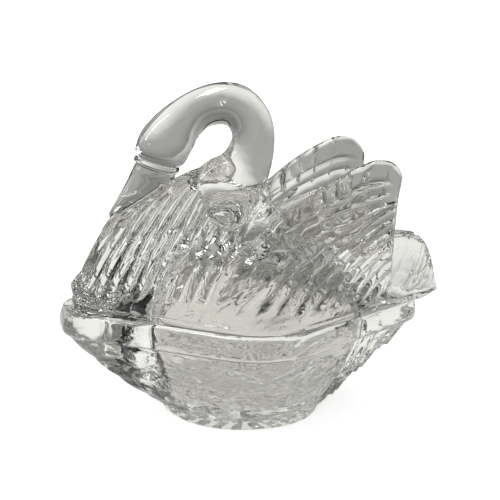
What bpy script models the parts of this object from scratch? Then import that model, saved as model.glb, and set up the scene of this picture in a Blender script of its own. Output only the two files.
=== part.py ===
"""Swan covered dish in clear pressed glass: a boat-shaped dish and a lid in the form of a swan.

Blender units are metres, +Z up. The swan looks towards -X, its tail points to +X, and the
origin is the centre of the foot's resting face. All sizes below are millimetres.

Most of the glass is lofted between sections of unlike shape (a rounded hexagon, an oval, a
ridge), so each shell is a grid of points worked out from a formula: rows go round or up the
form, columns run along its flutes.
"""
import math

import bmesh
import bpy
import numpy as np

MM = 0.001
MERGE = 0.000002        # metres within which two points are one

# Plan of the rim, a rounded hexagon
PROW_X = 77.5           # centre to the prow of the lid's flange
STERN_X = 77.9          # centre to the stern of the dish
SIDE_X = -2.65          # where the side corners stand along X
SIDE_Y = 47.9           # half width at the side corners, before rounding
NOSE_Y = 8.3            # half width of the blunt prow
HEEL_Y = 4.95           # half width of the blunt stern
CORNER_SHARE = 0.27     # share of each long side that rounds into the side corner
END_SHARE = 0.10        # the same at the prow and the stern

# Dish
RIM_Z = 46.85           # top of the dish's rim
BAND_Z = 37.5           # lower edge of the smooth rim band
BAND_BULGE = 2.0        # how far the band swells past the plan
BAND_STEP = 2.6         # step under the band
NOSE_EXTRA = 2.2        # how much further the dish's nose stands out at the prow
FOOT_A = 35.5           # half length of the oval foot
FOOT_B = 30.9           # half width of the oval foot
FOOT_X = -0.9           # centre of the foot along X
FOOT_SHAPE = 2.2        # exponent of the foot's oval
FOOT_H = 4.0            # height of the foot's upright edge
HULL_SWELL = 1.4        # exponent that makes the hull's flank convex
TIERS = 4               # overlapping feather tiers at the stern, long flutes at the prow
TIER_DEPTH = 2.0        # how far a tier stands out at its lip
FLUTE_DEPTH = 1.0       # how far a flute stands out
SCALLOP_PITCH = 9.0     # width of one feather tip along the hull
LEAF_X = (-19.0, 14.0)  # where the leaf reliefs stand
LEAF_TILT = 0.2         # how steeply they rise away from the middle
LEAF_LENGTH = 19.0      # half length of a leaf
LEAF_WIDTH = 6.5        # half width of a leaf
LEAF_Z = 26.0           # height of a leaf's middle
LEAF_RISE = 1.4         # how far a leaf stands out
STAR_RAYS = 24          # rays cut into the underside of the foot
STAR_DEPTH = 1.2        # depth of a ray
CAVITY_PROW = 49.0      # centre to the cavity's front end at the rim
CAVITY_STERN = 47.0     # centre to its rear end
CAVITY_WALL = 6.5       # glass left beside the cavity at the side corners
FLOOR_Z = 9.0           # top of the cavity's floor
FLOOR_SCALE = 0.66      # plan of the floor as a share of the cavity's mouth

# Lid: flange, hollow and chest
LID_GAP = 0.3           # air between the dish's rim and the resting lid
FLANGE_H = 3.3          # thickness of the flange
FLANGE_INSET = 0.7      # flange's edge inside the plan
LIP_H = 2.4             # how far the locating lip reaches into the dish
LIP_GAP = 0.8           # clearance between lip and cavity
LIP_T = 3.0             # thickness of the lip
HOLLOW_Z = 74.0         # top of the hollow under the back
HOLLOW_DRAW = 0.28      # share by which the hollow's ends draw in up to its top
HOLLOW_WALL = 1.0       # how far the wings' inner faces stay from the hollow, inside the body
TAIL_X = 91.5           # centre to the end of the tail
TAIL_Z = 77.3           # top of the tail
TAIL_TIP = 90.2         # centre to the end of the ridge, on the flange
TAIL_RISE = 2.0         # how far the flange's underside rises where the tail overhangs the dish
BODY_INSET = 1.2        # body's foot inside the plan
WING_BED = 4.5          # how much further in the body's side lies under the wings
BASE_BEAD = 2.2         # how far the plain bead swells at the prow
BEAD_Z = 56.0           # middle of that bead
REED_Z = 55.5           # where the chest's reeds start
REEDS = 12              # reeds on each side of the chest
REED_DEPTH = 1.4        # depth of the valleys between reeds
POCKET_DEPTH = 1.4      # how much deeper the valleys are just under the upper tier's tips
CHEST_RUN = 64.0        # length along the plan that the chest's reeds cover
TAIL_RUN = 30.0         # length along the plan that the tail's reeds cover
TAIL_REEDS = 6          # reeds on each side of the tail
TAIL_SHARE = 0.4        # their depth as a share of the chest's
TIER_PROUD = 1.6        # how far the upper tier stands over the lower one
TIER_START = 11.0       # where along the plan the upper tier begins to stand proud
TIP_DROP = 4.0          # drop of each feather tip

# Wings
FOOT_LINE = 48.5        # height of the wings' foot, sunk into the flange
WING_INNER_Y = 19.2     # half distance between the wings' inner faces
WING_ROUND = 2.1        # rounding of the wings' edges
RIBS = 9                # long feathers on each wing
RIB_DEPTH = 1.5         # depth of the valleys between them
RIB_BEND = 6.0          # exponent that makes the ribs straighter the further they are from the first
PLAIN_FOOT = 0.1        # share of a rib's row that is the wing's plain foot
SHORT_FEATHERS = 9      # short feathers along the top edge
SHORT_DEPTH = 1.2       # depth of the valleys between them

# Neck
NECK_SIDES = 18         # facets round the neck

COLLECTION = "swan_covered_dish"


def smooth(t):
    """A step from 0 to 1 with level ends."""
    t = np.clip(t, 0.0, 1.0)
    return t * t * (3.0 - 2.0 * t)


def curve_through(knots, at):
    """A smooth curve through the knots, read at 'at' (the knots' first column), by cubic Hermite pieces."""
    knots = np.asarray(knots, float)
    x = knots[:, 0]
    y = knots[:, 1:]
    slope = np.gradient(y, x, axis=0)
    at = np.clip(np.asarray(at, float), x[0], x[-1])
    k = np.clip(np.searchsorted(x, at, side="right") - 1, 0, len(x) - 2)
    width = (x[k + 1] - x[k])[..., None]
    t = ((at - x[k]) / (x[k + 1] - x[k]))[..., None]
    value = (y[k] * (1 + 2 * t) * (1 - t) ** 2 + slope[k] * width * t * (1 - t) ** 2
             + y[k + 1] * t * t * (3 - 2 * t) + slope[k + 1] * width * t * t * (t - 1))
    return value[..., 0] if y.shape[1] == 1 else value


def reed(phase):
    """Convex reeds with sharp valleys between them: 0 on a reed's crown, -1 in a valley."""
    return np.abs(np.sin(np.pi * phase)) ** 0.8 - 1.0


def half_outline(corners, shares, at):
    """Half of a rounded outline, from its front to its rear, read at shares 'at' of its length."""
    corners = np.asarray(corners, float)
    t = np.linspace(0, 1, 25)[:, None]
    points = [corners[:1]]
    for k, share in enumerate(shares, start=1):
        here = corners[k]
        before = here + (corners[k - 1] - here) * share[0]
        after = here + (corners[k + 1] - here) * share[1]
        points.append(before * (1 - t) ** 2 + 2 * here * t * (1 - t) + after * t * t)
    points.append(corners[-1:])
    points = np.concatenate(points)
    run = np.concatenate([[0], np.cumsum(np.hypot(*np.diff(points, axis=0).T))])
    at = np.asarray(at) * run[-1]
    return np.stack([np.interp(at, run, points[:, 0]), np.interp(at, run, points[:, 1])], -1), run[-1]


def hexagon(prow, stern, side, nose, heel, at):
    """The rounded hexagon of the rim, as its half with y >= 0."""
    corners = [(-prow, 0), (-prow, nose), (SIDE_X, side), (stern, heel), (stern, 0)]
    shares = [(0.7, END_SHARE), (CORNER_SHARE, CORNER_SHARE), (END_SHARE, 0.7)]
    return half_outline(corners, shares, at)


def outward(outline):
    """Unit normals of a half outline, pointing out of the plan."""
    along = np.gradient(outline, axis=0)
    normal = np.stack([-along[:, 1], along[:, 0]], -1)
    return normal / np.linalg.norm(normal, axis=1, keepdims=True)


def grid_quads(rows, columns):
    """Quads of a grid of points, each to be cut along its first and third corner.

    Two forms share a grid's rim, so no cut may join two points of the rim: the quads at two of
    the grid's corners are turned, and those at the other two are cut through the corner anyway.
    """
    i, j = np.meshgrid(np.arange(rows - 1), np.arange(columns - 1), indexing="ij")
    a = (i * columns + j).ravel()
    quads = np.stack([a, a + 1, a + columns + 1, a + columns], -1)
    for corner in (columns - 2, (rows - 2) * (columns - 1)):
        quads[corner] = np.roll(quads[corner], -1)
    return quads


def shell_from_half(name, half):
    """Closes a half shell (rows, columns, xyz) that is open at y = 0 by its mirror image."""
    rows, columns = half.shape[:2]
    half = half.copy()
    # Only the rim of the half lies on the middle plane; all else stays a hair off it
    half[..., 1] = np.where(np.abs(half[..., 1]) < 1e-9, 0.0, np.maximum(half[..., 1], 0.05))
    half[:, [0, -1], 1] = 0.0
    mesh = bpy.data.meshes.new(name)
    mesh.from_pydata((half.reshape(-1, 3) * MM).tolist(), [], grid_quads(rows, columns).tolist())
    return mesh


def add_object(name, mesh, collection, material=None):
    piece = bpy.data.objects.new(name, mesh)
    collection.objects.link(piece)
    if material:
        mesh.materials.append(material)
    return piece


def settle(piece, mirrored=False):
    """Merges the points that coincide, mirrors a half, and turns all faces outwards."""
    bm = bmesh.new()
    bm.from_mesh(piece.data)
    if mirrored:
        copy = bmesh.ops.duplicate(bm, geom=bm.verts[:] + bm.edges[:] + bm.faces[:])["geom"]
        verts = [g for g in copy if isinstance(g, bmesh.types.BMVert)]
        bmesh.ops.scale(bm, vec=(1, -1, 1), verts=verts)
    bmesh.ops.triangulate(bm, faces=bm.faces, quad_method="FIXED")
    bmesh.ops.remove_doubles(bm, verts=bm.verts, dist=MERGE)
    bmesh.ops.dissolve_degenerate(bm, edges=bm.edges, dist=MERGE)
    bmesh.ops.recalc_face_normals(bm, faces=bm.faces)
    bm.to_mesh(piece.data)
    bm.free()


# Dish

def foot_outline(at_angle, grow=0.0):
    """The foot's oval, a superellipse, at angles measured from the prow."""
    c, s = np.cos(at_angle), np.sin(at_angle)
    x = FOOT_X - (FOOT_A + grow) * np.sign(c) * np.abs(c) ** (2 / FOOT_SHAPE)
    y = (FOOT_B + grow) * np.abs(s) ** (2 / FOOT_SHAPE)
    return np.stack([x, y], -1)


def cavity_outline(at, grow=0.0):
    """Mouth of the cavity: the same hexagon family, shorter, so that prow and stern stay solid."""
    points, _ = hexagon(CAVITY_PROW + grow, CAVITY_STERN + grow, SIDE_Y - CAVITY_WALL + grow,
                        20.0 + grow, 20.0 + grow, at)
    return points


def dish_half(columns, flank_rows):
    """Half of the dish from the foot's centre out, up the hull, over the rim and down the cavity."""
    at = np.linspace(0, 1, columns)
    plan, run = hexagon(PROW_X, STERN_X, SIDE_Y, NOSE_Y, HEEL_Y, at)
    normal = outward(plan)
    bow = smooth((-plan[:, 0] - 60) / 18)
    angle = np.pi * at
    foot = foot_outline(angle)
    stern_end = smooth((plan[:, 0] - 38) / 14)
    prow_end = smooth((-plan[:, 0] - 38) / 14)
    s = at * run
    rows = []

    def ring(xy, z):
        rows.append(np.column_stack([xy, np.broadcast_to(z, len(xy))]))

    ring(np.tile([FOOT_X, 0.0], (columns, 1)), 0.0)
    ring(FOOT_X * np.array([1, 0]) + (foot - [FOOT_X, 0]) * 0.2, 0.0)
    cut = STAR_DEPTH * np.clip(np.cos(STAR_RAYS * angle), 0, 1)
    for share in (0.45, 0.86):
        ring([FOOT_X, 0] + (foot - [FOOT_X, 0]) * share, cut * (1 if share > 0.5 else 0.7))
    ring([FOOT_X, 0] + (foot - [FOOT_X, 0]) * 0.95, 0.0)
    ring(foot - outward(foot) * 0.6, 0.0)
    ring(foot, 0.8)
    ring(foot + outward(foot) * 0.5, FOOT_H)
    top = plan + normal * (BAND_BULGE - BAND_STEP + NOSE_EXTRA * bow)[:, None]
    start = foot + outward(foot) * 0.2
    for t in flank_rows:
        xy = start + (top - start) * t
        z = FOOT_H + 0.4 + (BAND_Z - 1.5 - FOOT_H) * t ** HULL_SWELL
        tier = t * TIERS
        lobes = 0.35 * np.cos(2 * np.pi * s / SCALLOP_PITCH + np.pi * np.floor(tier))
        lip = TIER_DEPTH * (1 - (tier - np.floor(tier))) * (0.8 + lobes) * stern_end
        lip = lip + FLUTE_DEPTH * (1 + reed(tier)) * prow_end
        lip = lip * smooth(t / 0.1) * smooth((1 - t) / 0.05)
        leaf = np.zeros(columns)
        for x0 in LEAF_X:
            axis = LEAF_Z + LEAF_TILT * np.sign(x0) * (xy[:, 0] - x0)
            span = ((xy[:, 0] - x0) / LEAF_LENGTH) ** 2 + ((z - axis) / LEAF_WIDTH) ** 2
            leaf = np.maximum(leaf, LEAF_RISE * smooth(1.6 * (1 - span)))
        ring(xy + normal * (lip + leaf)[:, None], z)
    swell = NOSE_EXTRA * bow
    for z, grow in ((BAND_Z, BAND_BULGE - 0.5), (BAND_Z + 2.0, BAND_BULGE), (BAND_Z + 5.0, BAND_BULGE - 0.2),
                    (RIM_Z - 1.6, BAND_BULGE - 0.9), (RIM_Z - 0.4, BAND_BULGE - 1.6), (RIM_Z, BAND_BULGE - 2.4)):
        ring(plan + normal * (grow + swell)[:, None], z)
    mouth = cavity_outline(at)
    floor = mouth * FLOOR_SCALE
    ring(cavity_outline(at, 0.6), RIM_Z)
    ring(mouth, RIM_Z - 0.8)
    for t in (0.3, 0.65, 0.9):
        ring(floor + (mouth - floor) * (1 - t ** 1.6), RIM_Z - (RIM_Z - FLOOR_Z) * t)
    ring(floor * 0.97, FLOOR_Z + 0.6)
    ring(floor * 0.8, FLOOR_Z)
    ring(floor * 0.35, FLOOR_Z)
    ring(np.zeros((columns, 2)), FLOOR_Z)
    return np.stack(rows)


# Lid

RIDGE = [(-67, 79), (-62, 86.5), (-50, 94), (-36, 102.2), (-26, 106.6), (-17, 108), (-9, 106), (-2, 100),
         (5, 92.5), (12, 88), (28, 82.5), (45, 78.5), (60, 77), (72, TAIL_Z), (78, 75.5), (84, 67), (TAIL_TIP, 51.5)]
# Where the lines that start along the plan (share of its length) meet the ridge (X)
LEAN = [(0, -66), (0.04, -54), (0.086, -39.5), (0.114, -33), (0.151, -24.5), (0.183, -18.5), (0.213, -11),
        (0.26, -5), (0.32, 0), (0.46, 12), (0.6, 32), (0.76, 62), (0.89, 80), (1, TAIL_TIP)]
# Along the plan: how boxy the cross-section is upwards, how round its ridge is, how late its lines lean back
SECTION = [(-PROW_X, 1.15, 2.3, 1.4), (-28, 1.15, 2.2, 1.4), (0, 1.8, 2.2, 1.2), (20, 2.4, 2.5, 1.1),
           (60, 3.2, 3.0, 1.1), (TAIL_X, 3.0, 3.0, 1.1)]
# Height of the upper tier's feather tips, along the plan
TIER_LINE = [(0, 72), (17, 74), (30, 77), (43, 76.5), (54, 79), (CHEST_RUN, 84), (90, 90)]


def lid_plan(at):
    """Plan of the lid: the dish's plan, but its rear sides run on to the end of the narrow tail."""
    rear_slope = (SIDE_Y - HEEL_Y) / (STERN_X - SIDE_X)
    end_y = max(HEEL_Y - rear_slope * (TAIL_X - STERN_X), 1.2)
    return hexagon(PROW_X, TAIL_X, SIDE_Y, NOSE_Y, end_y, at)


def cover_columns(per_reed, middle):
    """Shares of the plan's length at which columns stand: dense on the chest, even elsewhere."""
    _, run = lid_plan([0.0, 1.0])
    chest = np.linspace(0, CHEST_RUN / run, REEDS * per_reed + 1)
    tail_share = TAIL_RUN / run
    rest = np.linspace(CHEST_RUN / run, 1 - tail_share, middle + 1)[1:]
    tail = np.linspace(1 - tail_share, 1, TAIL_REEDS * per_reed + 1)[1:]
    return np.concatenate([chest, rest, tail])


def hollow_width(t):
    """Width of the hollow at share t of its height, as a share of its width below."""
    return (1 - t ** 2.2) ** (1 / 2.2)


def hollow_y(x, z):
    """Half width of the hollow under the back at x and height z."""
    mouth = cavity_outline(np.linspace(0, 1, 61), -LIP_GAP - LIP_T)
    t = np.clip((z - RIM_Z - LID_GAP) / (HOLLOW_Z - RIM_Z - LID_GAP), 0, 1)
    return np.interp(x / (1 - HOLLOW_DRAW * t), mouth[:, 0], mouth[:, 1]) * hollow_width(t)


def body_half(per_reed=2, middle=12, lower=(0.0, 0.5, 0.96), upper=(0.02, 0.3, 0.6, 0.85, 1.0)):
    """Half of the swan's body without wings and neck, with its flange and the hollow under it."""
    at = cover_columns(per_reed, middle)
    plan, run = lid_plan(at)
    s = at * run
    normal = outward(plan)
    flange = plan - normal * FLANGE_INSET
    bed = WING_BED * smooth((plan[:, 0] + 28) / 14) * smooth((66 - plan[:, 0]) / 8)
    foot = plan - normal * (BODY_INSET + bed)[:, None]
    ridge_x = curve_through(LEAN, at)
    ridge_z = curve_through(RIDGE, ridge_x)
    box, crest, lean = curve_through(SECTION, plan[:, 0]).T
    prow = smooth((-plan[:, 0] - 40) / 30)
    seat = RIM_Z + LID_GAP
    top = seat + FLANGE_H
    chest = 1 - smooth((s - CHEST_RUN + 3) / 3)
    tail = smooth((s - run + TAIL_RUN) / 4) * TAIL_SHARE
    phase = np.where(s <= CHEST_RUN, s / CHEST_RUN * REEDS, (s - run + TAIL_RUN) / TAIL_RUN * TAIL_REEDS)
    room = ridge_z - top
    tip_line = curve_through(TIER_LINE, s) - TIP_DROP * (1 + reed(phase)) * chest
    tip_line = top + np.minimum(tip_line - top, 0.6 * room)
    bottom = top + np.minimum(REED_Z - top, 0.3 * room)
    tiered = chest * smooth((s - TIER_START) / 10)
    rows = []

    def ring(xy, z):
        rows.append(np.column_stack([xy, np.broadcast_to(z, len(xy))]))

    def side(z, proud, reeds):
        """A row on the body's side at height z: a superellipse from the plan up to the ridge."""
        share = np.clip((z - top) / (ridge_z - top), 0, 1)
        width = np.clip(1 - share ** box, 0, 1) ** (1 / crest)
        x = foot[:, 0] + (ridge_x - foot[:, 0]) * share ** lean
        y = foot[:, 1] * width
        bead = BASE_BEAD * prow * np.exp(-((z - BEAD_Z) / 4.0) ** 2)
        # Near the ridge the crowns sink to the valleys, so that each feather ends in a point
        point = smooth((share - 0.78) / 0.17)
        cut = np.minimum(reed(phase), -point * chest)
        grow = bead + (proud + reeds * cut) * smooth((1 - share) / 0.05)
        ring(np.stack([x, y], -1) + normal * grow[:, None], np.broadcast_to(z, s.shape))

    mouth = cavity_outline(at, -LIP_GAP)
    inner = cavity_outline(at, -LIP_GAP - LIP_T)
    for t in (1.0, 0.97, 0.85, 0.6, 0.3):
        ring(inner * [1 - HOLLOW_DRAW * t, hollow_width(t)], seat + (HOLLOW_Z - seat) * t)
    ring(inner, seat + 1.0)
    ring(inner + (mouth - inner) * 0.15, seat - LIP_H + 0.6)
    ring(inner + (mouth - inner) * 0.4, seat - LIP_H)
    ring(inner + (mouth - inner) * 0.8, seat - LIP_H)
    ring(mouth, seat - LIP_H + 0.8)
    ring(mouth, seat)
    rise = TAIL_RISE * smooth((plan[:, 0] - STERN_X - 2) / (TAIL_X - STERN_X - 2))
    ring(flange - normal * 0.5, seat + rise)
    ring(flange, seat + 0.5 + rise)
    ring(flange, top - 0.6)
    ring(flange - normal * 0.4, top)
    side(top + 0.02 * room, 0.0, 0.0)
    side(top + (bottom - top) * 0.5, 0.0, 0.0)
    reeds = REED_DEPTH * np.maximum(chest, tail)
    for t in lower:
        pocket = POCKET_DEPTH * tiered * np.exp(-((1 - t) / 0.16) ** 2)
        side(bottom + (tip_line - bottom) * t, 0.0, reeds * smooth(t / 0.12) + pocket)
    high = ridge_z - tip_line
    for t in upper:
        side(tip_line + high * t, TIER_PROUD * tiered * (1 - t), reeds)
    return np.stack(rows)


# Leading and top edge of a wing: x, z and the outer face's distance from the middle plane
WING_EDGE = [(-27, FOOT_LINE, 34.0), (-25.5, 62, 33.0), (-19.5, 72.5, 31), (-9.8, 80.8, 27.5), (-1, 87.5, 24.0),
             (7.7, 93.7, 21.8), (14.2, 99.1, 22.2), (20.1, 103.8, 22.7), (27.4, 108.6, 23.5), (35.2, 113, 23.8),
             (42, 115.7, 23.8), (46.5, 115.8, 23.8), (50.7, 114.3, 23.6), (53.8, 111.4, 23.5), (55.3, 108.3, 23.3)]
# The line from which the long feathers start, and the wing's rear edge: x, z
RIB_LINE = [(-23, FOOT_LINE), (-16, 57.3), (-7.4, 65.3), (2.9, 72.9), (9.8, 77.3), (23.1, 85.6), (37.6, 91.9),
            (46, 95), (55.6, 97.6)]
WING_REAR = [(55.6, 97.6), (57.4, 80), (59, 70), (61.5, 58), (63.5, FOOT_LINE)]
# Share of the way from that line to the rear corner; where that rib starts, x and z, above the wing's
# plain foot; and the height where it meets the rear edge
RIB_ENDS = [(0, -21, 51, 97.6), (0.111, -10.2, 56, 95.5), (0.222, -2.1, 56, 91), (0.333, 7.4, 55.2, 86),
            (0.444, 17.5, 54.4, 81), (0.556, 26.5, 53.5, 76), (0.667, 36, 53, 71), (0.778, 45.5, 52.3, 65),
            (0.889, 54.5, 51.2, 57.5), (1, 63.5, FOOT_LINE, FOOT_LINE)]


def along(points, at):
    """Points at shares 'at' of the length of a smooth curve through the given points."""
    points = np.asarray(points, float)
    run = np.concatenate([[0], np.cumsum(np.linalg.norm(np.diff(points, axis=0), axis=1))])
    return curve_through(np.column_stack([run / run[-1], points]), at)


def wing_outer_y(x, z):
    """The wing's outer face: on the plan's side at its foot, at the tip line at its top."""
    front = NOSE_Y + (SIDE_Y - NOSE_Y) * (x + PROW_X) / (SIDE_X + PROW_X)
    rear = SIDE_Y + (HEEL_Y - SIDE_Y) * (x - SIDE_X) / (STERN_X - SIDE_X)
    foot = -2.4 * np.logaddexp(-front / 2.4, -rear / 2.4) - BODY_INSET
    edge = np.asarray(WING_EDGE)
    edge_z = curve_through(edge[:13, :2], x)
    edge_y = curve_through(edge[:, [0, 2]], x)
    rise = np.clip((z - 50) / np.maximum(edge_z - 50, 4), 0, 1.1)
    return foot + (edge_y - foot) * rise ** 1.15


def wing(columns, band_rows, rib_rows, sign):
    """One wing: a leaf with an outer face of feathers and a plainer inner face, closed at its rim."""
    columns = np.asarray(columns)
    edge = along(np.asarray(WING_EDGE)[:, :2], columns)
    line = along(RIB_LINE, columns)
    count = RIBS * rib_rows
    rows, ribs, shorts = [], [], []
    band = np.linspace(0, 1, band_rows + 1)
    for b in band[:-1]:
        rows.append(edge + (line - edge) * b ** 1.3)
        ribs.append(0.0)
        shorts.append(1.0)
    rear_x, rear_z = np.array(WING_REAR, float).T
    for share in np.arange(count) / count:
        *start, end_z = curve_through(RIB_ENDS, share)
        foot_x = RIB_LINE[0][0] + (rear_x[-1] - RIB_LINE[0][0]) * share ** 1.05
        knots = np.array([(foot_x, FOOT_LINE), start, (np.interp(-end_z, -rear_z, rear_x), end_z)])
        straight = np.column_stack([np.interp(columns, [0, PLAIN_FOOT, 1], knots[:, k]) for k in (0, 1)])
        if share == 0:
            bend = line - straight
        rows.append(straight + bend * (1 - share) ** RIB_BEND)
        ribs.append(1.0)
        shorts.append(0.0)
    rows.append(np.tile(np.array(WING_REAR[-1], float), (len(columns), 1)))
    ribs.append(0.0)
    shorts.append(0.0)
    face = np.stack(rows)
    ribs = np.asarray(ribs)[:, None]
    shorts = np.asarray(shorts)[:, None]
    x, z = face[..., 0], face[..., 1]
    outer = wing_outer_y(x, z)
    inner = np.maximum(WING_INNER_Y - 0.02 * (112 - z), hollow_y(x, z) + HOLLOW_WALL)
    inner = np.minimum(inner, outer - 4.4)
    # Distance to the rim in the wing's own plane, from the row and the column
    reach = np.linalg.norm(face - face[:1], axis=-1)
    tail_reach = np.linalg.norm(face - face[:, -1:], axis=-1)
    front_reach = np.linalg.norm(face - face[:, :1], axis=-1)
    near = np.minimum(np.minimum(reach, tail_reach), front_reach * 2)
    near[-1] = 0
    rim = np.sqrt(np.clip(1 - (1 - np.clip(near / WING_ROUND, 0, 1)) ** 2, 0, 1))
    middle = (outer + inner) / 2
    phase = np.concatenate([np.zeros(band_rows), np.arange(count) / rib_rows, [0]])[:, None]
    fade = smooth(near / 5)
    ribs = ribs * smooth((columns[None, :] - PLAIN_FOOT + 0.02) / 0.05) * (1 - 0.5 * columns[None, :])
    feather = RIB_DEPTH * reed(phase) * ribs * fade
    share = np.concatenate([band[:-1], np.ones(count + 1)])[:, None]
    high = smooth((columns[None, :] - 0.36) / 0.1)
    short = SHORT_DEPTH * reed((columns[None, :] - 0.3) * SHORT_FEATHERS / 0.7 + 0.25 * share) * shorts * high
    short = short * smooth(near / 3) * smooth((1 - share) / 0.25)
    out_y = middle + (outer - middle) * rim + feather + short
    in_y = middle + (inner - middle) * rim
    points = np.concatenate([np.stack([x, out_y, z], -1), np.stack([x, in_y, z], -1)])
    quads = grid_quads(*x.shape)
    faces = np.concatenate([quads, quads[:, [0, 3, 2, 1]] + x.size])
    points = points.reshape(-1, 3) * np.array([1, sign, 1]) * MM
    mesh = bpy.data.meshes.new("wing")
    mesh.from_pydata(points.tolist(), [], faces.tolist())
    return mesh


# Stations of the neck from the beak's tip to its root. Each ring crosses the middle plane at an
# outer and an inner point: outer x, z, inner x, z, half width
NECK = [(-63.6, 86.3, -62.8, 85.7, 1.2), (-62.7, 88.3, -60.4, 87.0, 2.2), (-61.2, 91.2, -57.0, 89.1, 3.3),
        (-58.9, 95.6, -51.0, 92.8, 4.7), (-56.7, 100.2, -45.0, 96.5, 5.9), (-55.0, 104.3, -40.0, 99.7, 7.0),
        (-53.9, 107.0, -36.9, 102.3, 7.9), (-53.2, 108.2, -36.8, 103.7, 7.7), (-53.9, 109.2, -35.6, 104.9, 8.7),
        (-54.0, 110.2, -35.2, 106.0, 8.8), (-53.2, 111.3, -35.4, 107.2, 8.2), (-53.6, 113.0, -33.6, 108.5, 9.3),
        (-53.2, 116.2, -32.0, 111.4, 9.9), (-51.6, 120.8, -30.3, 115.2, 10.0), (-48.3, 125.4, -29.0, 118.2, 9.7),
        (-43.4, 130.3, -27.6, 120.8, 9.3), (-37.8, 134.6, -25.7, 122.8, 8.9), (-32.2, 138.0, -23.8, 124.0, 8.7),
        (-27.0, 140.3, -21.8, 124.6, 8.6), (-22.0, 141.7, -20.0, 124.8, 8.6), (-16.4, 142.2, -18.2, 124.8, 8.6),
        (-10.5, 141.1, -16.6, 124.3, 8.7), (-5.2, 138.0, -15.2, 123.3, 8.8), (-1.0, 133.8, -14.2, 121.9, 8.9),
        (2.2, 128.6, -13.5, 120.4, 9.0), (4.0, 122.6, -13.3, 118.8, 9.2), (4.5, 116.5, -13.7, 116.9, 9.5),
        (4.3, 111.0, -14.9, 114.2, 9.9), (3.6, 106.0, -17.6, 111.4, 10.6), (2.9, 102.3, -22.4, 109.0, 11.4),
        (1.6, 98.3, -27.5, 104.5, 13.2), (-0.5, 94.0, -30.0, 99.5, 16.2), (-3.0, 90.0, -29.5, 93.5, 19.3),
        (-5.5, 87.2, -28.0, 88.8, 20.9), (-8.5, 85.0, -25.5, 85.6, 19.6), (-12.0, 83.4, -22.0, 83.6, 14.0)]


def neck_mesh(sides):
    """Neck, head and beak: an oval laid through each station's two points."""
    path = np.asarray(NECK, float)
    middle = (path[:, :2] + path[:, 2:4]) / 2
    span = (path[:, :2] - path[:, 2:4]) / 2
    angle = np.linspace(0, 2 * math.pi, sides, endpoint=False)
    flat = middle[:, None] + np.cos(angle)[None, :, None] * span[:, None]
    points = np.stack([flat[..., 0], np.sin(angle)[None, :] * path[:, 4:5], flat[..., 1]], -1)
    count = len(path)
    i, j = np.meshgrid(np.arange(count - 1), np.arange(sides), indexing="ij")
    a = (i * sides + j).ravel()
    b = (i * sides + (j + 1) % sides).ravel()
    faces = np.stack([a, b, b + sides, a + sides], -1).tolist()
    faces.append(list(range(sides))[::-1])
    faces.append([(count - 1) * sides + k for k in range(sides)])
    mesh = bpy.data.meshes.new("neck")
    mesh.from_pydata((points.reshape(-1, 3) * MM).tolist(), [], faces)
    return mesh


def glass(name, colour):
    material = bpy.data.materials.new(name)
    material.use_nodes = True
    shader = material.node_tree.nodes["Principled BSDF"]
    shader.inputs["Base Color"].default_value = (*colour, 1)
    shader.inputs["Roughness"].default_value = 0.02
    shader.inputs["IOR"].default_value = 1.52
    shader.inputs["Transmission Weight"].default_value = 1.0
    return material


def unite(piece, other):
    joint = piece.modifiers.new("unite_" + other.name, "BOOLEAN")
    joint.operation = "UNION"
    joint.solver = "EXACT"
    joint.object = other
    other.hide_render = True
    other.display_type = "WIRE"


def build():
    for old in list(bpy.data.objects):
        bpy.data.objects.remove(old, do_unlink=True)
    parts = bpy.data.collections.new(COLLECTION)
    tools = bpy.data.collections.new("joined_forms")
    bpy.context.scene.collection.children.link(parts)
    bpy.context.scene.collection.children.link(tools)

    flank = sorted([0.0] + [k / TIERS + e for k in range(TIERS) for e in (0.02, 0.13)] + [0.98])
    dish = add_object("dish", shell_from_half("dish", dish_half(39, flank)), parts,
                      glass("dish_glass", (0.93, 0.935, 0.93)))
    settle(dish, mirrored=True)

    cover = add_object("swan_cover", shell_from_half("swan_cover", body_half()), parts,
                       glass("cover_glass", (0.93, 0.935, 0.93)))
    settle(cover, mirrored=True)
    columns = np.concatenate([[0, 0.03], np.linspace(0.1, 0.9, 12), [0.95, 0.98, 1.0]])
    for side, sign in (("near", -1), ("far", 1)):
        form = add_object("wing_" + side, wing(columns, 4, 2, sign), tools)
        settle(form)
        unite(cover, form)
    neck = add_object("neck", neck_mesh(NECK_SIDES), tools)
    settle(neck)
    unite(cover, neck)


build()
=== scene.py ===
# %% [markdown]
# # A swan covered dish in clear pressed glass
# The object is a boat-shaped dish with a lid in the form of a swan. Both are pressed glass, so
# every form has soft edges, and feathers are cut into it as reeds, ribs and scallops. Glass shows
# its own back and inside, so each surface, also the hidden ones, has to be a clean closed shell.
# This lesson builds the two pieces as surfaces worked out with numpy, and then lights them.

import bmesh
import bpy
import numpy as np
from mathutils import Matrix


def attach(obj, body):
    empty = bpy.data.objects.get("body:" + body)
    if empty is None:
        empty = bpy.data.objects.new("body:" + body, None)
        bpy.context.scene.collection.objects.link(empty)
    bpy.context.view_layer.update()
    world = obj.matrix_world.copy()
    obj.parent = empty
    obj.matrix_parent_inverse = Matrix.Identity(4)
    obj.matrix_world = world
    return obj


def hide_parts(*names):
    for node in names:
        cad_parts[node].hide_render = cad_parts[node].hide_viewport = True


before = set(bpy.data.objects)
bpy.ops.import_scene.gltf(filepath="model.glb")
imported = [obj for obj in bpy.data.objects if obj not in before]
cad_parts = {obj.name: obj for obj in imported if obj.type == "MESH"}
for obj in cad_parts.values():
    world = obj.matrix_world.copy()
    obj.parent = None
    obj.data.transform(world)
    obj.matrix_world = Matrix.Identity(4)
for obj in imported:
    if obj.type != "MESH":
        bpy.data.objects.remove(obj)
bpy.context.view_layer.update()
MM = 0.001
print("nodes", sorted(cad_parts))

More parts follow.
